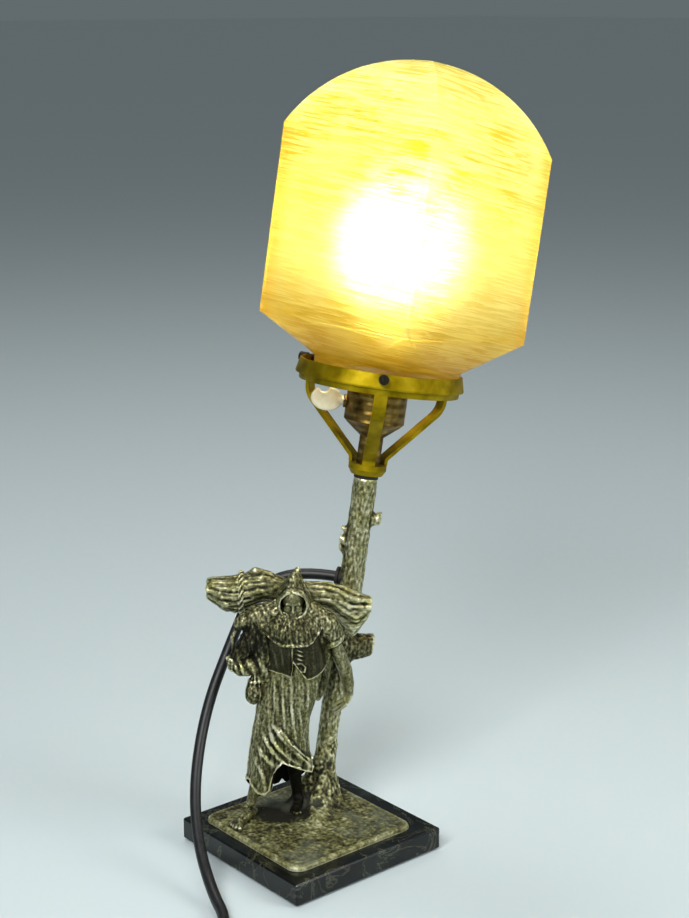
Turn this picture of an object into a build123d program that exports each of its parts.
from build123d import *
from math import asin, cos, degrees, pi, radians, sin, sqrt, tan
import os

# Night lamp: a cast figure beside a leaning tree on a marble slab, with a glass shade on top.
# Millimetres, +Z up, origin at the centre of the slab's underside, slab edges along X and Y.

# Base
FELT_T = 1.0
FELT_INSET = 2.0
SLAB_SIDE = 100.0
SLAB_T = 12.0
SLAB_CHAMFER = 0.8
PLATE_SIDE = 82.0
PLATE_T = 3.0
PLATE_CORNER_R = 7.0
PLATE_EDGE_R = 1.0
PLATE_CENTRE = (-2.0, 0.0)
BOSS_R = 4.5
BOSS_DEPTH = 4.0
BASE_SCREW_R = 2.0
BASE_SCREW_HEAD_R = 3.6
BASE_SCREW_HEAD_T = 2.2
BASE_WASHER_R = 4.8
BASE_WASHER_T = 0.8
BASE_SCREW_PLACES = ((24.0, -24.0), (-24.0, 24.0))
COUNTERBORE_DEPTH = 5.0

# Tree trunk, on its leaning axis
TRUNK_FOOT = (21.2, 17.4)
TRUNK_LEAN = 10.25
TRUNK_LENGTH = 185.0
TRUNK_R = 6.8
TRUNK_FLARE_R = 11.5
TRUNK_FLARE_LENGTH = 36.0
TRUNK_BORE_R = 3.5
TRUNK_BORE_START = 60.0
TRUNK_FLARE_SLOPE = 0.7
CORD_EXIT_HEIGHT = 128.0
CORD_EXIT_ANGLE = 125.0
TWIG_ABOVE_EXIT = 22.0
# Sawn branch stubs: height, angle round the trunk, radius, reach from the axis
BRANCH_STUBS = (
    (163.5, -40.0, 3.2, 10.0),
    (92.0, -36.0, 6.0, 16.5),
    (CORD_EXIT_HEIGHT + TWIG_ABOVE_EXIT, 140.0, 2.6, 8.8),
)

# Gallery
WASHER_R = 6.7
WASHER_T = 2.0
HUB_R = 10.4
HUB_FOOT_R = 8.6
HUB_H = 6.0
NIPPLE_R = 4.0
NIPPLE_BORE_R = 2.6
NIPPLE_IN_TRUNK = 14.0
NIPPLE_ABOVE_HUB = 11.0
RING_ABOVE_HUB = 42.2
RING_H = 11.2
RING_TOP_R = 44.3
RING_BEAD_R = 45.9
RING_BEAD_H = 4.2
RING_BEAD_T = 0.8
RING_BEAD_ROOT = 1.2
RING_LIP_R = 43.6
RING_LIP_FLARE = 0.3
RING_SEAT_R = 35.0
RING_SEAT_T = 1.6
RING_WALL = 1.3
ARM_ANGLES = (-130.0, -10.0, 110.0)
ARM_W = 7.0
ARM_T = 2.0
ARM_SHOULDER = 10.0
ARM_SHOULDER_R = 12.0
ARM_FOOT_R = 3.0
SHADE_SCREW_R = 2.0
SHADE_SCREW_BELOW_RIM = 2.3
SHADE_SCREW_HEAD_R = 2.7
SHADE_SCREW_HEAD_T = 4.6
SHADE_SCREW_STAND_OFF = 0.4

# Lampholder, bayonet pattern, with a turn key
NECK_R = 6.5
NECK_H = 15.0
CUP_R = 16.5
CUP_WALL = 1.0
CUP_DOME_H = 8.5
CUP_SHOULDER = 2.0
CUP_SIDE_H = 13.5
BARREL_H = 8.0
BARREL_TOP_T = 1.2
SLEEVE_R = 12.6
SLEEVE_BORE_R = 11.5
SLEEVE_H = 15.0
LOCK_RING_R = 15.5
LOCK_RING_H = 5.0
LOCK_RING_LIFT = 1.0
CORE_H = 19.0
PLUNGER_R = 2.0
PLUNGER_OFFSET = 5.5
PLUNGER_LENGTH = 14.0
BULB_TWIST = 16.0
KEY_ANGLE = 143.0
KEY_DROP = 4.5
STEM_R = 1.5
DRUM_R = 4.0
DRUM_LENGTH = 7.0
DRUM_START = 2.0
KEY_BUSH_R = 2.6
KEY_BUSH_FLANGE_R = 3.6
KEY_BUSH_FLANGE_T = 1.2
KEY_HUB_R = 2.6
KEY_HUB_LENGTH = 3.0
KEY_LENGTH = 17.5
KEY_WIDTH = 13.0
KEY_T = 3.6
KEY_EDGE_R = 1.1
KEY_NOTCH_R = 3.0
KEY_NOTCH_AT = 10.8

# Bulb
CAP_R = 11.0
CAP_WALL = 0.5
CAP_H = 18.0
PIN_R = 1.0
PIN_REACH = 12.3
PIN_HEIGHT = 4.0
CONTACT_R = 2.6
CONTACT_T = 0.6
GLOBE_R = 30.0
GLOBE_CENTRE = 69.0
GLOBE_JOIN = -35.0
BULB_NECK_R = 10.2
BULB_WALL = 0.8
MOUNT_R = 3.0
MOUNT_H = 34.0
FILAMENT_R = 0.5
FILAMENT_SPAN = 9.0
FILAMENT_RISE = 20.0

# Glass shade
SHADE_SIDE = 104.0
SHADE_CORNER_R = 3.0
SHADE_WALL = 2.6
SHADE_NECK_R = 39.7
SHADE_NECK_H = 11.5
SHADE_SHOULDER_H = 19.6
SHADE_SIDE_H = 98.0
SHADE_VAULT_H = 44.0
SHADE_TURN = 8.4
# The neck leans on the ring's wall on one side, where its screw is slack
SHADE_SHIFT_ANGLE = -40.0

# Figure: placed in its own frame, turned about Z to face the slab's front corner.
# X is the figure's left, Y points behind it, heights are above the ground plate.
FIGURE_TURN = -40.0
WAIST_H = 82.0
NECK_BASE_H = 116.0
BUST_H = (WAIST_H + NECK_BASE_H) / 2
SHOULDER_DROP = 6.0
HOLLOW_H = 44.0
SKIRT_WALL = 2.2
# Sections: x, y, height, half width, half depth
SKIRT_SECTIONS = (
    (-16.5, 10.0, 14.0, 18.5, 15.0),
    (-16.0, 10.0, 26.0, 19.0, 15.0),
    (-16.5, 9.5, 39.0, 17.5, 13.5),
    (-15.5, 9.0, 54.0, 15.5, 12.0),
    (-13.5, 8.5, 70.0, 14.5, 10.5),
    (-10.8, 8.5, WAIST_H, 13.0, 9.0),
)
# The hem's opening over the rear leg: x and height above the hem, from side to side
HEM_ARCH = ((-21.0, -1.0), (-20.0, 7.0), (-13.0, 18.0), (-3.0, 13.0), (6.0, 11.0), (6.0, -1.0))
TORSO_SECTIONS = (
    (-10.8, 8.5, WAIST_H, 13.0, 9.0),
    (-10.2, 8.5, BUST_H, 14.0, 9.8),
    (-10.5, 9.0, NECK_BASE_H - SHOULDER_DROP, 18.0, 9.0),
    (-9.0, 9.0, NECK_BASE_H, 6.5, 6.0),
)
CAPE_DROP = 18.0
CAPE_SECTIONS = (
    (-9.5, 8.0, NECK_BASE_H - CAPE_DROP, 16.5, 12.5),
    (-10.5, 8.5, NECK_BASE_H - SHOULDER_DROP, 20.5, 11.6),
    (-9.0, 9.0, NECK_BASE_H, 9.0, 8.2),
)
# From here on heights are above the base of the neck
HOOD_SECTIONS = (
    (-8.5, 8.0, 0.0, 8.6, 8.0),
    (-8.5, 7.5, 7.5, 9.8, 9.4),
    (-8.0, 7.0, 16.0, 7.6, 7.8),
    (-7.2, 7.0, 22.0, 4.0, 4.4),
    (-6.4, 7.5, 26.0, 0.9, 0.9),
)
HEAD_CENTRE = (-8.5, 4.8, 7.6)
HEAD_RADII = (6.2, 7.2, 9.0)
HEAD_FLATS = (-70.0, -35.0, 0.0, 35.0, 70.0)
NECK_RADIUS = 3.8
NECK_BACK = 2.0
FACE_WINDOW_R = 5.7
# Limbs: x, y, height, radius
LEFT_ARM_SECTIONS = (
    (2.0, 9.5, -7.0, 6.0),
    (8.0, 9.5, -10.0, 6.4),
    (11.5, 10.0, -16.0, 6.0),
    (13.4, 10.5, -20.5, 5.4),
    (17.2, 13.0, -26.5, 3.8),
    (20.6, 16.5, -38.0, 3.4),
    (20.8, 19.5, -50.0, 2.8),
    (17.0, 21.5, -59.0, 3.0),
    (14.0, 22.5, -62.5, 2.0),
)
RIGHT_ARM_SECTIONS = (
    (-22.0, 9.5, -7.0, 6.2),
    (-29.0, 9.0, -9.5, 7.4),
    (-34.0, 8.0, -18.0, 7.2),
    (-37.5, 6.5, -28.0, 5.8),
    (-38.5, 5.5, -35.0, 3.0),
)
# Firewood: x, y, height, half depth, half height
BUNDLE_SECTIONS = (
    (-54.5, 21.0, 5.5, 5.5, 7.0),
    (-48.0, 21.0, 6.0, 7.0, 9.8),
    (-26.0, 21.5, 8.6, 8.0, 11.6),
    (-8.0, 23.0, 6.5, 7.0, 9.0),
    (9.0, 23.0, 0.8, 7.4, 11.6),
    (20.0, 23.0, -5.0, 7.4, 12.8),
    (27.0, 23.0, -6.5, 6.6, 10.5),
    (32.5, 23.0, -5.0, 4.5, 5.5),
)
# Legs and shoes: heights above the ground plate again
FRONT_LEG_SECTIONS = (
    (-27.0, 3.0, HOLLOW_H, 4.6),
    (-30.0, 0.5, 22.0, 3.9),
    (-32.0, -1.0, 9.0, 3.2),
    (-32.5, -1.5, 1.5, 3.2),
)
FRONT_SHOE_SECTIONS = (
    (-31.6, 2.5, 2.4, 2.4),
    (-33.0, -4.0, 2.4, 3.2),
    (-35.0, -10.0, 1.6, 2.6),
    (-36.6, -15.0, 0.8, 1.2),
)
REAR_LEG_SECTIONS = (
    (-9.0, 15.0, HOLLOW_H, 4.6),
    (-8.0, 16.0, 22.0, 3.9),
    (-7.0, 17.0, 9.0, 3.2),
    (-6.6, 17.0, 1.5, 3.2),
)
REAR_SHOE_SECTIONS = (
    (-5.6, 21.0, 2.4, 2.4),
    (-6.6, 14.0, 2.4, 3.2),
    (-7.6, 8.0, 1.6, 2.6),
    (-8.4, 3.5, 0.8, 1.2),
)
POUCH_CENTRE = (-29.6, 4.0)
POUCH_BELOW_WAIST = 9.5
POUCH_RADII = (4.8, 5.4, 8.8)
TIE_AT = -37.0
TIE_W = 4.0
TIE_T = 0.8
SEAM = 0.05

# Flex: exit, diameter and the free run's points down to the floor
CORD_D = 6.0
CORD_EXIT_INSET = 1.4
BUSH_WALL = 1.2
BUSH_FLANGE_R = 5.6
BUSH_FLANGE_T = 1.5
LEAD_R = 1.0
LEAD_SPACING = 2.6
LEAD_BEND_R = 2.6
CORD_EXIT_RUN = 25.0
CORD_POINTS = (
    (4.5, 56.3, 130.1),
    (-13.8, 51.5, 106.7),
    (-36.0, 45.0, 76.5),
    (-56.0, 29.5, 45.0),
    (-70.0, 8.0, 22.5),
    (-79.0, -17.0, 6.0),
    (-88.0, -43.0, 3.2),
)
COIL_LEAD_IN = (-112.9, -60.5)
COIL_START = (-128.4, -78.8)
ARC_SHARE = 0.45

# Coil of the spare length, two layers, tied, with the plug lying on top
COIL_SIDE = -1.0
COIL_OUTER_R = 43.75
COIL_TURNS = 3
COIL_GAP = 0.5
COIL_TIE_T = 0.8
COIL_TIE_W = 8.0
COIL_TIE_GAP = 0.4
COIL_REST_GAP = 0.1
TAIL_CLIMB_TURN = 115.0
TAIL_TURN_R = 24.25
PLUG_REST_GAP = 0.4
PLUG_LENGTH = 30.0
PLUG_W = 26.0
PLUG_T = 14.0
PLUG_EDGE_R = 3.0
PLUG_PIN_R = 2.0
PLUG_PIN_LENGTH = 19.0
PLUG_PIN_SPACING = 19.0
SLEEVE_LENGTH = 20.0
SLEEVE_NARROW_R = 4.0
SLEEVE_WIDE_R = 5.4

# Fits
RUNNING = 0.05
LOOSE = 0.1
SLIP = 0.3

# Levels on the vertical axis
slab_top = FELT_T + SLAB_T
ground = slab_top + PLATE_T

# Levels along the trunk's axis, from the top of the slab
washer_at = TRUNK_LENGTH
hub_at = washer_at + WASHER_T
hub_top = hub_at + HUB_H
cup_dome_at = hub_top + NECK_H
cup_side_at = cup_dome_at + CUP_DOME_H
barrel_at = cup_side_at + CUP_SIDE_H
barrel_top = barrel_at + BARREL_H
sleeve_top = barrel_top + BARREL_TOP_T + SLEEVE_H
core_at = cup_side_at + LOOSE
core_top = core_at + CORE_H
plunger_top = core_top + PLUNGER_LENGTH / 2
ring_at = hub_top + RING_ABOVE_HUB
ring_top = ring_at + RING_H
key_at = barrel_at - KEY_DROP
cap_at = plunger_top + CONTACT_T
pin_at = cap_at + PIN_HEIGHT
globe_at = cap_at + GLOBE_CENTRE
neck_at = ring_at + RING_SEAT_T + LOOSE
shoulder_at = neck_at + SHADE_NECK_H
wall_at = shoulder_at + SHADE_SHOULDER_H
vault_at = wall_at + SHADE_SIDE_H
screw_at = ring_top - SHADE_SCREW_BELOW_RIM
ring_bore_r = RING_TOP_R - RING_WALL
shade_shift = ring_bore_r - SHADE_NECK_R - SLIP

lean = radians(TRUNK_LEAN)
LEAN_FRAME = Plane(
    origin=(*TRUNK_FOOT, slab_top),
    x_dir=(cos(lean), 0, -sin(lean)),
    z_dir=(sin(lean), 0, cos(lean)),
).location
FIGURE_FRAME = Location((0, 0, ground), (0, 0, FIGURE_TURN))

nodes = {}


# Shared ways of making a piece


def keep(name, *solids):
    """Store a finished piece under its node's name."""
    nodes[name] = list(solids)


def main_solid(shape):
    """The largest solid of a cut shape, without slivers."""
    return max(shape.solids(), key=lambda solid: solid.volume)


def turned(points):
    """A solid turned about Z from a closed outline of (radius, height) points."""
    outline = Polyline(*points, close=True)
    return revolve(Plane.XZ * make_face(outline), axis=Axis.Z)


def rod(radius, start, length):
    """A cylinder on Z from a given height."""
    return Pos(0, 0, start) * Cylinder(radius, length, align=(Align.CENTER, Align.CENTER, Align.MIN))


def tube(outer, inner, start, length):
    """A hollow cylinder on Z from a given height."""
    return rod(outer, start, length) - rod(inner, start, length)


def radial(angle, height, solid):
    """Lay a solid that stands on Z along a radius of the trunk's axis."""
    return Pos(0, 0, height) * Rot(0, 0, angle) * Rot(0, 90, 0) * solid


def stack(sections):
    """A smooth solid through level ellipses given as x, y, height, half width, half depth."""
    faces = [Pos(x, y, h) * Ellipse(a, b) for x, y, h, a, b in sections]
    return loft(faces)


def limb(sections, across):
    """A smooth solid through sections square to their own path: x, y, height, half size or sizes."""
    places = [Vector(*section[:3]) for section in sections]
    faces = []
    for index, section in enumerate(sections):
        before = places[max(index - 1, 0)]
        after = places[min(index + 1, len(places) - 1)]
        along = (after - before).normalized()
        side = Vector(across)
        side = (side - along * side.dot(along)).normalized()
        plane = Plane(origin=places[index], x_dir=side, z_dir=along)
        half_side = section[3]
        half_up = section[-1]
        outline = Circle(half_side) if half_side == half_up else Ellipse(half_side, half_up)
        faces.append(plane * outline)
    return loft(faces)


def raised(sections):
    """Sections given above the base of the neck, with their heights above the ground plate."""
    return [(x, y, h + NECK_BASE_H, *sizes) for x, y, h, *sizes in sections]


def grown(sizes, extra):
    """Half sizes with the same thickness added to each."""
    return [size + extra for size in sizes]


def oval(centre, radii):
    """A rounded body of three half sizes, from level ellipses with flat ends."""
    x, y, h = centre
    a, b, c = radii
    levels = []
    for flat in HEAD_FLATS:
        rise = sin(radians(flat))
        width = cos(radians(flat))
        levels.append((x, y, h + c * rise, a * width, b * width))
    return stack(levels)


def above(solid, level):
    """What is left of a solid above a level plane."""
    return split(solid, bisect_by=Plane.XY.offset(level), keep=Keep.TOP)


def swept(path, radius):
    """A round rod along a path."""
    return sweep(Plane(origin=path @ 0, z_dir=path % 0) * Circle(radius), path=path)


# Base: felt, marble slab and the screws that hold the casting down


def make_base():
    felt_side = SLAB_SIDE - 2 * FELT_INSET
    bottom = (Align.CENTER, Align.CENTER, Align.MIN)
    keep("base_felt", Box(felt_side, felt_side, FELT_T, align=bottom))

    slab = Pos(0, 0, FELT_T) * Box(SLAB_SIDE, SLAB_SIDE, SLAB_T, align=bottom)
    slab = chamfer(slab.edges(), SLAB_CHAMFER)
    head_room = FELT_T + COUNTERBORE_DEPTH
    plate = Pos(*PLATE_CENTRE, slab_top) * extrude(
        RectangleRounded(PLATE_SIDE, PLATE_SIDE, PLATE_CORNER_R), PLATE_T
    )
    plate = fillet(plate.edges().group_by(Axis.Z)[-1], PLATE_EDGE_R)
    screws = []
    washers = []
    for x, y in BASE_SCREW_PLACES:
        place = Pos(x, y, 0)
        slab -= place * rod(BASE_WASHER_R + SLIP, FELT_T, COUNTERBORE_DEPTH)
        slab -= place * rod(BASE_SCREW_R + SLIP, FELT_T, SLAB_T)
        slab -= place * rod(BOSS_R + SLIP, slab_top - BOSS_DEPTH - SLIP, BOSS_DEPTH + SLIP)
        thread_top = slab_top + PLATE_T / 2
        plate += place * rod(BOSS_R, slab_top - BOSS_DEPTH, BOSS_DEPTH)
        plate -= place * rod(BASE_SCREW_R + RUNNING, slab_top - BOSS_DEPTH, BOSS_DEPTH + PLATE_T / 2)
        under_head = head_room - BASE_WASHER_T
        washers.append(place * tube(BASE_WASHER_R, BASE_SCREW_R + RUNNING, under_head, BASE_WASHER_T))
        head_at = under_head - BASE_SCREW_HEAD_T
        screw = rod(BASE_SCREW_HEAD_R, head_at, BASE_SCREW_HEAD_T)
        screw += rod(BASE_SCREW_R, head_at, thread_top - head_at)
        screws.append(place * screw)
    keep("marble_base", slab)
    keep("ground_plate", plate)
    keep("base_screws", *screws)
    keep("base_washers", *washers)


# Tree trunk: a hollow casting that leans, with sawn stubs and a side hole for the flex


def make_trunk():
    flare = Spline(
        (TRUNK_FLARE_R, 0),
        (TRUNK_R, TRUNK_FLARE_LENGTH),
        tangents=((-TRUNK_FLARE_SLOPE, 1), (0, 1)),
    )
    side = Line((TRUNK_R, TRUNK_FLARE_LENGTH), (TRUNK_R, TRUNK_LENGTH))
    rest = Polyline((TRUNK_R, TRUNK_LENGTH), (0, TRUNK_LENGTH), (0, 0), (TRUNK_FLARE_R, 0))
    trunk = revolve(Plane.XZ * make_face([flare, side, rest]), axis=Axis.Z)
    for height, angle, radius, reach in BRANCH_STUBS:
        trunk += radial(angle, height, rod(radius, 0, reach))
    trunk -= rod(TRUNK_BORE_R, TRUNK_BORE_START, TRUNK_LENGTH - TRUNK_BORE_START)
    trunk -= rod(NIPPLE_R + RUNNING, TRUNK_LENGTH - NIPPLE_IN_TRUNK, NIPPLE_IN_TRUNK)
    bush_hole = rod(CORD_D / 2 + BUSH_WALL + RUNNING, 0, 3 * TRUNK_R)
    trunk -= radial(CORD_EXIT_ANGLE, CORD_EXIT_HEIGHT, bush_hole)
    keep("tree_trunk", main_solid(above(LEAN_FRAME * trunk, ground)))


# Figure: sections of one casting, each cut by the larger ones it is soldered to


def make_figure():
    side_on = (0, 1, 0)
    bundle_sections = raised(BUNDLE_SECTIONS)
    bundle = limb(bundle_sections, side_on)
    skirt = stack(SKIRT_SECTIONS)
    hollow_sections = []
    for x, y, h, a, b in SKIRT_SECTIONS[:3]:
        hollow_sections.append((x, y, min(h, HOLLOW_H), a - SKIRT_WALL, b - SKIRT_WALL))
    x, y, h, a, b = SKIRT_SECTIONS[3]
    hollow_sections.append((x, y, HOLLOW_H, a, b))
    skirt -= stack(hollow_sections)
    x, y, hem, a, b = SKIRT_SECTIONS[0]
    arch = Polyline(*[(side, hem + rise) for side, rise in HEM_ARCH], close=True)
    skirt -= Plane.XZ * extrude(make_face(arch), 2 * b)
    skirt = main_solid(skirt)

    torso = stack(TORSO_SECTIONS)
    cape = main_solid(stack(CAPE_SECTIONS) - torso)

    x, y, lift = HEAD_CENTRE
    h = NECK_BASE_H + lift
    neck_place = Pos(x, y + NECK_BACK, 0)
    head = oval((x, y, h), HEAD_RADII) + neck_place * rod(NECK_RADIUS, NECK_BASE_H, lift)
    head = main_solid(head - torso - cape)
    face_gap = oval((x, y, h), grown(HEAD_RADII, SEAM))
    face_gap += neck_place * rod(NECK_RADIUS + SEAM, NECK_BASE_H, lift)
    window = Pos(x, 0, h) * Rot(90, 0, 0) * rod(FACE_WINDOW_R, 0, 2 * max(HEAD_RADII))
    hood = main_solid(stack(raised(HOOD_SECTIONS)) - face_gap - window)

    left_arm = main_solid(limb(raised(LEFT_ARM_SECTIONS), side_on) - torso - cape)
    right_arm = main_solid(limb(raised(RIGHT_ARM_SECTIONS), side_on) - torso - cape)
    pouch = oval((*POUCH_CENTRE, WAIST_H - POUCH_BELOW_WAIST), POUCH_RADII)
    pouch = main_solid(pouch - skirt - right_arm)
    wood = main_solid(bundle - torso - cape - hood - left_arm - right_arm)

    legs = {}
    for name, leg, shoe in (
        ("front_leg", FRONT_LEG_SECTIONS, FRONT_SHOE_SECTIONS),
        ("rear_leg", REAR_LEG_SECTIONS, REAR_SHOE_SECTIONS),
    ):
        shape = limb(leg, side_on) + limb(shoe, (1, 0, 0))
        shape = split(shape, bisect_by=Plane.XY.offset(HOLLOW_H), keep=Keep.BOTTOM)
        legs[name] = main_solid(above(shape, 0) - skirt)

    wrap = [(x, y, h, *grown(sizes, TIE_T)) for x, y, h, *sizes in bundle_sections]
    around = max(h + b for x, y, h, a, b in wrap)
    band = Pos(TIE_AT, 0, 0) * Box(TIE_W, 2 * around, 2 * around)
    tie = main_solid((limb(wrap, side_on) - bundle) & band)
    tie = main_solid(tie - right_arm - cape)

    for name, solid in (
        ("figure_skirt", skirt), ("figure_torso", torso), ("figure_cape", cape), ("figure_head", head),
        ("figure_hood", hood), ("left_arm", left_arm), ("right_arm", right_arm), ("belt_pouch", pouch),
        ("firewood_bundle", wood), ("bundle_tie", tie), *legs.items(),
    ):
        keep(name, FIGURE_FRAME * solid)


# Gallery: hub, three strap arms and the ring that holds the shade's neck


def make_gallery():
    keep("fibre_washer", LEAN_FRAME * tube(WASHER_R, NIPPLE_R + RUNNING, washer_at, WASHER_T))
    hub = turned((
        (NIPPLE_R + RUNNING, hub_at),
        (HUB_FOOT_R, hub_at),
        (HUB_R, hub_at + HUB_H / 2),
        (HUB_R, hub_top),
        (NIPPLE_R + RUNNING, hub_top),
    ))
    keep("gallery_hub", LEAN_FRAME * hub)
    nipple_at = TRUNK_LENGTH - NIPPLE_IN_TRUNK
    nipple_length = hub_top + NIPPLE_ABOVE_HUB - nipple_at
    keep("threaded_nipple", LEAN_FRAME * tube(NIPPLE_R, NIPPLE_BORE_R, nipple_at, nipple_length))

    bead = ring_at + RING_BEAD_H
    ring = turned((
        (RING_SEAT_R, ring_at),
        (RING_LIP_R, ring_at),
        (RING_LIP_R + RING_LIP_FLARE, bead - RING_BEAD_ROOT),
        (RING_BEAD_R, bead - RING_BEAD_T),
        (RING_BEAD_R, bead),
        (RING_TOP_R, ring_top),
        (ring_bore_r, ring_top),
        (ring_bore_r, ring_at + RING_SEAT_T),
        (RING_SEAT_R, ring_at + RING_SEAT_T),
    ))
    for index, angle in enumerate(ARM_ANGLES, start=1):
        ring -= radial(angle, screw_at, rod(SHADE_SCREW_R + RUNNING, RING_SEAT_R, RING_SEAT_R))
        foot_r = HUB_R - ARM_T / 2 - SEAM
        top_r = RING_LIP_R - ARM_T / 2 - SEAM
        line = FilletPolyline(
            (top_r, ring_at),
            (top_r, ring_at - ARM_SHOULDER),
            (foot_r, hub_top + ARM_FOOT_R),
            (foot_r, hub_top),
            radius=(ARM_SHOULDER_R, ARM_FOOT_R),
        )
        strap = extrude(Plane.XZ * trace(line, line_width=ARM_T), ARM_W / 2, both=True)
        keep(f"gallery_arm_{index}", LEAN_FRAME * Rot(0, 0, angle) * main_solid(strap))

        off = radians(angle - SHADE_SHIFT_ANGLE)
        reach = sqrt(SHADE_NECK_R**2 - (shade_shift * sin(off)) ** 2)
        tip = shade_shift * cos(off) + reach + SLIP
        head_at = RING_BEAD_R + SHADE_SCREW_STAND_OFF
        screw = rod(SHADE_SCREW_R, tip, head_at - tip)
        screw += rod(SHADE_SCREW_HEAD_R, head_at, SHADE_SCREW_HEAD_T)
        keep(f"shade_screw_{index}", LEAN_FRAME * radial(angle, screw_at, screw))
    keep("gallery_ring", LEAN_FRAME * ring)


# Lampholder: brass cup, porcelain core, bayonet barrel and the turn key


def make_holder():
    inner_r = CUP_R - CUP_WALL
    cup = turned((
        (NIPPLE_R + RUNNING, hub_top),
        (NECK_R, hub_top),
        (NECK_R, cup_dome_at),
        (CUP_R - CUP_SHOULDER, cup_side_at - CUP_SHOULDER),
        (CUP_R, cup_side_at),
        (CUP_R, barrel_at),
        (inner_r, barrel_at),
        (inner_r, cup_side_at),
        (NECK_R, cup_dome_at + CUP_WALL),
        (NIPPLE_R + RUNNING, cup_dome_at + CUP_WALL),
    ))
    cup -= radial(KEY_ANGLE, key_at, rod(KEY_BUSH_R + RUNNING, 0, 2 * CUP_R))
    keep("holder_cup", LEAN_FRAME * cup)

    core = rod(inner_r - LOOSE, core_at, CORE_H)
    plungers = []
    for side in (-1, 1):
        place = Pos(0, side * PLUNGER_OFFSET, 0)
        plunger_at = plunger_top - PLUNGER_LENGTH
        core -= place * rod(PLUNGER_R + RUNNING, plunger_at, PLUNGER_LENGTH)
        plungers.append(LEAN_FRAME * place * rod(PLUNGER_R, plunger_at, PLUNGER_LENGTH))
    core -= radial(KEY_ANGLE, key_at, rod(DRUM_R + RUNNING, DRUM_START - LOOSE, 2 * CUP_R))
    keep("holder_core", LEAN_FRAME * main_solid(core))
    keep("contact_plungers", *plungers)

    barrel = turned((
        (inner_r, barrel_at),
        (CUP_R, barrel_at),
        (CUP_R, barrel_top + BARREL_TOP_T),
        (SLEEVE_R, barrel_top + BARREL_TOP_T),
        (SLEEVE_R, sleeve_top),
        (SLEEVE_BORE_R, sleeve_top),
        (SLEEVE_BORE_R, barrel_top),
        (inner_r, barrel_top),
    ))
    slot_half = PIN_R + LOOSE
    slot_angle = degrees(asin(slot_half / SLEEVE_BORE_R))
    sleeve_wall = SLEEVE_R - SLEEVE_BORE_R
    slot_face = Pos(SLEEVE_R - sleeve_wall / 2, pin_at) * Rectangle(2 * sleeve_wall, 2 * slot_half)
    leg = revolve(Plane.XZ * slot_face, axis=Axis.Z, revolution_arc=BULB_TWIST + 2 * slot_angle)
    standing = (Align.CENTER, Align.CENTER, Align.MIN)
    entry = Box(4 * sleeve_wall, 2 * slot_half, SLEEVE_H, align=standing)
    entry = Pos(SLEEVE_R, 0, pin_at - slot_half) * entry
    for side in (0, 180):
        barrel -= Rot(0, 0, side - slot_angle) * leg
        barrel -= Rot(0, 0, side + BULB_TWIST) * entry
    keep("holder_barrel", LEAN_FRAME * main_solid(barrel))
    lock_at = barrel_top + BARREL_TOP_T + LOCK_RING_LIFT
    keep("holder_ring", LEAN_FRAME * tube(LOCK_RING_R, SLEEVE_R + RUNNING, lock_at, LOCK_RING_H))


# Switch: the key's bush, stem, drum and bean-shaped grip


def make_switch():
    flange_end = CUP_R + KEY_BUSH_FLANGE_T
    bush = rod(KEY_BUSH_R, CUP_R - CUP_WALL, CUP_WALL + LOOSE)
    bush += rod(KEY_BUSH_FLANGE_R, CUP_R + LOOSE, KEY_BUSH_FLANGE_T)
    bush -= rod(STEM_R + RUNNING, 0, 2 * CUP_R)
    keep("key_bush", LEAN_FRAME * radial(KEY_ANGLE, key_at, bush))
    drum = rod(DRUM_R, DRUM_START, DRUM_LENGTH)
    keep("switch_drum", LEAN_FRAME * radial(KEY_ANGLE, key_at, drum))
    stem_at = DRUM_START + DRUM_LENGTH
    key_start = flange_end + 2 * SLIP
    keep("switch_stem", LEAN_FRAME * radial(KEY_ANGLE, key_at, rod(STEM_R, stem_at, key_start - stem_at)))
    outline = Pos(0, KEY_LENGTH / 2) * Ellipse(KEY_WIDTH / 2, KEY_LENGTH / 2)
    outline -= Pos(-KEY_WIDTH / 2, KEY_NOTCH_AT) * Circle(KEY_NOTCH_R)
    grip = extrude(outline, KEY_T / 2, both=True)
    grip = fillet(grip.edges().filter_by(Plane.XY), min(KEY_EDGE_R, KEY_T / 3))
    key = Pos(0, 0, key_start) * Rot(90, 0, 0) * grip + rod(KEY_HUB_R, key_start, KEY_HUB_LENGTH)
    keep("switch_key", LEAN_FRAME * radial(KEY_ANGLE, key_at, main_solid(key)))


# Bulb: bayonet cap with side pins, thin glass and a looped filament


def bulb_form(inset):
    """The bulb's glass outline, turned solid, set in from the outside by a wall."""
    radius = GLOBE_R - inset
    neck = BULB_NECK_R - inset
    neck_top = cap_at + CAP_H
    join = radians(GLOBE_JOIN)
    between = (join + pi / 2) / 2
    tangent_point = (radius * cos(join), globe_at + radius * sin(join))
    side_point = (radius * cos(between), globe_at + radius * sin(between))
    crown = (0, globe_at + radius)
    start = cap_at + CONTACT_T + CAP_WALL + inset
    outline = [
        Polyline((0, start), (neck, start), (neck, neck_top)),
        Spline((neck, neck_top), tangent_point, tangents=((0.1, 1), (-sin(join), cos(join)))),
        ThreePointArc(tangent_point, side_point, crown),
        Line(crown, (0, start)),
    ]
    return revolve(Plane.XZ * make_face(outline), axis=Axis.Z)


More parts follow.
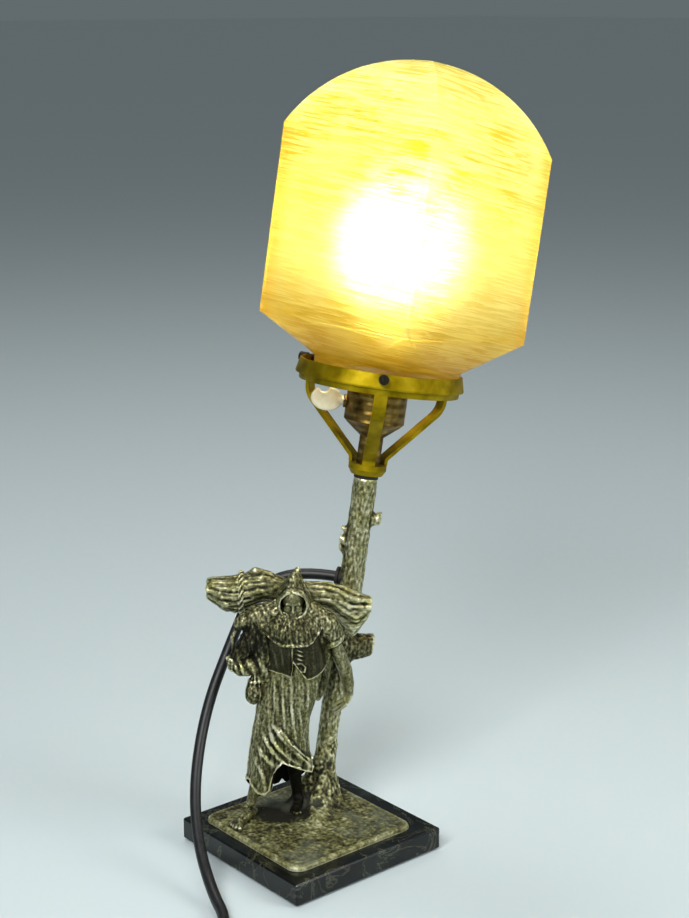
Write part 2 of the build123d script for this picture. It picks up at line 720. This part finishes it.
def make_bulb():
    cap = rod(CAP_R, cap_at, CAP_H) - rod(CAP_R - CAP_WALL, cap_at + CONTACT_T, CAP_H)
    pins = []
    for side in (0, 180):
        cap -= radial(side, pin_at, rod(PIN_R + SEAM, 0, 2 * CAP_R))
        pin_start = CAP_R - CAP_WALL
        pins.append(LEAN_FRAME * radial(side, pin_at, rod(PIN_R, pin_start, PIN_REACH - pin_start)))
    keep("bulb_cap", LEAN_FRAME * main_solid(cap))
    keep("bulb_pins", *pins)
    contacts = []
    for side in (-1, 1):
        place = Pos(0, side * PLUNGER_OFFSET, 0)
        contacts.append(LEAN_FRAME * place * rod(CONTACT_R, plunger_top, CONTACT_T))
    keep("bulb_contacts", *contacts)
    keep("bulb_glass", LEAN_FRAME * main_solid(bulb_form(0) - bulb_form(BULB_WALL)))
    mount_at = cap_at + CONTACT_T + CAP_WALL + BULB_WALL
    mount_top = mount_at + MOUNT_H
    keep("bulb_mount", LEAN_FRAME * rod(MOUNT_R, mount_at, MOUNT_H))
    half = FILAMENT_SPAN / 2
    leg = MOUNT_R / 2
    wire = FilletPolyline(
        (-leg, 0, mount_top),
        (-leg, 0, mount_top + FILAMENT_RISE / 4),
        (-half, 0, mount_top + FILAMENT_RISE),
        (half, 0, mount_top + FILAMENT_RISE),
        (leg, 0, mount_top + FILAMENT_RISE / 4),
        (leg, 0, mount_top),
        radius=half / 3,
    )
    keep("bulb_filament", LEAN_FRAME * swept(wire, FILAMENT_R))


# Shade: round neck, sloped shoulder, square walls and a vaulted top, all one thickness


def shade_form(inset, neck_start):
    """The shade's outside, or its inside when set in by a wall."""
    side = SHADE_SIDE - 2 * inset
    corner = SHADE_CORNER_R - inset / 2
    neck = SHADE_NECK_R - inset
    almost = neck - SEAM
    form = rod(neck, neck_start, shoulder_at - neck_start)
    form += loft([
        Pos(0, 0, shoulder_at) * RectangleRounded(2 * neck, 2 * neck, almost),
        Pos(0, 0, wall_at) * RectangleRounded(side, side, corner),
    ])
    spring = vault_at
    rise = SHADE_VAULT_H - inset
    form += Pos(0, 0, wall_at) * extrude(RectangleRounded(side, side, corner), spring - wall_at)
    half = side / 2
    diagonal = half * sqrt(2)
    arc_r = (diagonal**2 + rise**2) / (2 * rise)
    drop = arc_r - rise
    start = degrees(asin(drop / arc_r))
    arch = EllipticalCenterArc(
        (0, spring - drop),
        x_radius=arc_r / sqrt(2),
        y_radius=arc_r,
        start_angle=start,
        arc_size=2 * (90 - start),
    )
    section = make_face([arch, Line(arch @ 1, arch @ 0)])
    barrel = extrude(Plane.XZ * section, side, both=True)
    vault = barrel & (Rot(0, 0, 90) * barrel)
    vault &= Pos(0, 0, spring) * extrude(RectangleRounded(side, side, corner), 2 * rise)
    return form + vault


def make_shade():
    outside = shade_form(0, neck_at)
    inside = shade_form(SHADE_WALL, neck_at - SHADE_WALL)
    shift = Rot(0, 0, SHADE_SHIFT_ANGLE) * Pos(shade_shift, 0, 0) * Rot(0, 0, -SHADE_SHIFT_ANGLE)
    keep("glass_shade", LEAN_FRAME * shift * Rot(0, 0, SHADE_TURN) * main_solid(outside - inside))


# Wiring inside the trunk


def make_wiring():
    bush = rod(CORD_D / 2 + BUSH_WALL, TRUNK_BORE_R, TRUNK_R - TRUNK_BORE_R + SLIP)
    bush += rod(BUSH_FLANGE_R, TRUNK_R + SLIP, BUSH_FLANGE_T)
    bush -= rod(CORD_D / 2 + RUNNING, 0, 3 * TRUNK_R)
    keep("cord_bush", LEAN_FRAME * radial(CORD_EXIT_ANGLE, CORD_EXIT_HEIGHT, bush))
    leads = []
    for side in (-0.5, 0.5):
        across = side * LEAD_SPACING
        path = FilletPolyline(
            (TRUNK_R - CORD_EXIT_INSET, across, CORD_EXIT_HEIGHT),
            (0, across, CORD_EXIT_HEIGHT),
            (0, across, core_at),
            radius=LEAD_BEND_R,
        )
        leads.append(LEAN_FRAME * Rot(0, 0, CORD_EXIT_ANGLE) * swept(path, LEAD_R))
    keep("inner_leads", *leads)


# Free flex: from the bush over the back of the group and down to the floor


def rounded_path(points):
    """Straight runs joined by arcs as large as the runs allow."""
    radii = []
    for before, here, after in zip(points, points[1:], points[2:]):
        first = here - before
        second = after - here
        turn = radians(first.get_angle(second))
        radii.append(ARC_SHARE * min(first.length, second.length) / tan(turn / 2))
    print("flex radii", [round(radius, 1) for radius in radii])
    return FilletPolyline(*points, radius=radii)


coil_low = COIL_TIE_T + COIL_REST_GAP + CORD_D / 2
coil_high = coil_low + CORD_D + COIL_GAP
plug_level = coil_high + CORD_D / 2 + PLUG_REST_GAP + PLUG_T / 2


def make_free_cord():
    outward = LEAN_FRAME * Rot(0, 0, CORD_EXIT_ANGLE)
    start = (outward * Pos(TRUNK_R - CORD_EXIT_INSET, 0, CORD_EXIT_HEIGHT)).position
    ahead = (outward * Pos(TRUNK_R + CORD_EXIT_RUN, 0, CORD_EXIT_HEIGHT)).position
    points = [start, ahead]
    points += [Vector(*point) for point in CORD_POINTS]
    points += [Vector(*COIL_LEAD_IN, coil_low), Vector(*COIL_START, coil_low)]
    path = rounded_path(points)
    cord = swept(path, CORD_D / 2)
    print("flex free length", round(path.length, 1), "volume ratio",
          round(cord.volume / (path.length * pi * CORD_D**2 / 4), 4))
    keep("cord_free", cord)


# Coil: half turns that spiral in below and out again above, then the tail up to the plug


def arc(start, ahead, inward, radius, turn):
    """An arc that leaves start along ahead and bends towards inward, and its end and headings there."""

    def at(angle):
        return start + ahead * (radius * sin(angle)) + inward * (radius * (1 - cos(angle)))

    edge = ThreePointArc(start, at(turn / 2), at(turn))
    return edge, at(turn), ahead * cos(turn) + inward * sin(turn)


def tilted(inward, rise):
    """A level heading tipped up by a rise of one."""
    return inward * sqrt(1 - rise**2) + Vector(0, 0, rise)


def coil_edges():
    """The coil's arcs in its own frame: X along the flex as it arrives, its centre to one side on Y."""
    step = (CORD_D + COIL_GAP) / 2
    radii_in = [COIL_OUTER_R - step * count for count in range(2 * COIL_TURNS)]
    turns = [(radius, 0.0) for radius in radii_in]
    turns.append((radii_in[-1] - step, coil_high - coil_low))
    turns += [(radius, 0.0) for radius in reversed(radii_in[1:])]
    place = Vector(CORD_D, 0, coil_low)
    ahead = Vector(1, 0, 0)
    inward = Vector(0, COIL_SIDE, 0)
    edges = [Line((0, 0, coil_low), place)]
    far_side = []
    for radius, climb in turns:
        edge, place, ahead = arc(place, ahead, tilted(inward, climb / (2 * radius)), radius, pi)
        edges.append(edge)
        inward = inward * -1
        if inward.Y * COIL_SIDE < 0:
            far_side.append(place.Y)
    # The tail climbs outside the coil in two arcs, then turns over it
    half = radians(TAIL_CLIMB_TURN) / 2
    rise = (plug_level - coil_high) / (4 * COIL_OUTER_R * sin(half / 2) ** 2)
    level = ahead * cos(2 * half) + inward * sin(2 * half)
    edge, place, ahead = arc(place, ahead, tilted(inward, rise), COIL_OUTER_R, half)
    edges.append(edge)
    turn = radians(ahead.get_angle(level))
    inward = (level - ahead * cos(turn)) * (1 / sin(turn))
    edge, place, ahead = arc(place, ahead, inward, COIL_OUTER_R, turn)
    edges.append(edge)
    inward = Vector(-ahead.Y, ahead.X, 0) * COIL_SIDE
    edge, place, ahead = arc(place, ahead, inward, TAIL_TURN_R, 3 * pi / 2 - 2 * half)
    edges.append(edge)
    plug_start = place + ahead * CORD_D
    edges.append(Line(place, plug_start))
    return edges, far_side, plug_start


def least_gap(edges):
    """The least clear distance between turns that are not neighbours along the tube."""
    samples = []
    travelled = 0.0
    for edge in edges:
        count = max(2, round(edge.length / 4))
        for step in range(count):
            samples.append((travelled + edge.length * step / count, edge @ (step / count)))
        travelled += edge.length
    gaps = []
    for index, (reach, point) in enumerate(samples):
        for other_reach, other in samples[index + 1:]:
            if other_reach - reach > 4 * CORD_D:
                gaps.append((point - other).length - CORD_D)
    return min(gaps)


def make_coil():
    heading = Vector(*COIL_START) - Vector(*COIL_LEAD_IN)
    frame = Plane(origin=(*COIL_START, 0), x_dir=heading.normalized(), z_dir=(0, 0, 1)).location
    edges, far_side, plug_start = coil_edges()
    path = Wire(edges)
    coil = swept(path, CORD_D / 2)
    print("coil length", round(path.length, 1), "least gap", round(least_gap(edges), 2), "volume ratio",
          round(coil.volume / (path.length * pi * CORD_D**2 / 4), 4))
    keep("cord_coil", frame * coil)

    near = min(far_side) - CORD_D / 2 - COIL_TIE_GAP
    far = max(far_side) + CORD_D / 2 + COIL_TIE_GAP
    low = coil_low - CORD_D / 2 - COIL_REST_GAP
    high = coil_high + CORD_D / 2 + COIL_TIE_GAP
    centre = Pos(CORD_D, (near + far) / 2, (low + high) / 2)
    inner = centre * Box(2 * COIL_TIE_W, far - near, high - low)
    outer = centre * Box(COIL_TIE_W, far - near + 2 * COIL_TIE_T, high - low + 2 * COIL_TIE_T)
    keep("coil_tie", frame * (outer - inner))

    along = frame * Pos(*plug_start) * Rot(90 * COIL_SIDE, 0, 0)
    standing = (Align.CENTER, Align.CENTER, Align.MIN)
    sleeve = Cone(SLEEVE_NARROW_R, SLEEVE_WIDE_R, SLEEVE_LENGTH, align=standing)
    keep("plug_sleeve", along * sleeve)
    body = extrude(Rectangle(PLUG_W, PLUG_T), PLUG_LENGTH)
    body = fillet(body.edges().filter_by(Axis.Z), PLUG_EDGE_R)
    keep("plug_body", along * Pos(0, 0, SLEEVE_LENGTH) * body)
    pins = []
    for side in (-0.5, 0.5):
        pin = rod(PLUG_PIN_R, SLEEVE_LENGTH + PLUG_LENGTH, PLUG_PIN_LENGTH)
        pins.append(along * Pos(side * PLUG_PIN_SPACING, 0, 0) * pin)
    keep("plug_pins", *pins)


make_base()
make_trunk()
make_figure()
make_gallery()
make_holder()
make_switch()
make_bulb()
make_shade()
make_wiring()
make_free_cord()
make_coil()

os.makedirs("parts", exist_ok=True)
for name, solids in nodes.items():
    shapes = [solid for shape in solids for solid in shape.solids()]
    export_step(shapes[0] if len(shapes) == 1 else Compound(children=shapes), f"parts/{name}.step")
print(len(nodes), "nodes")
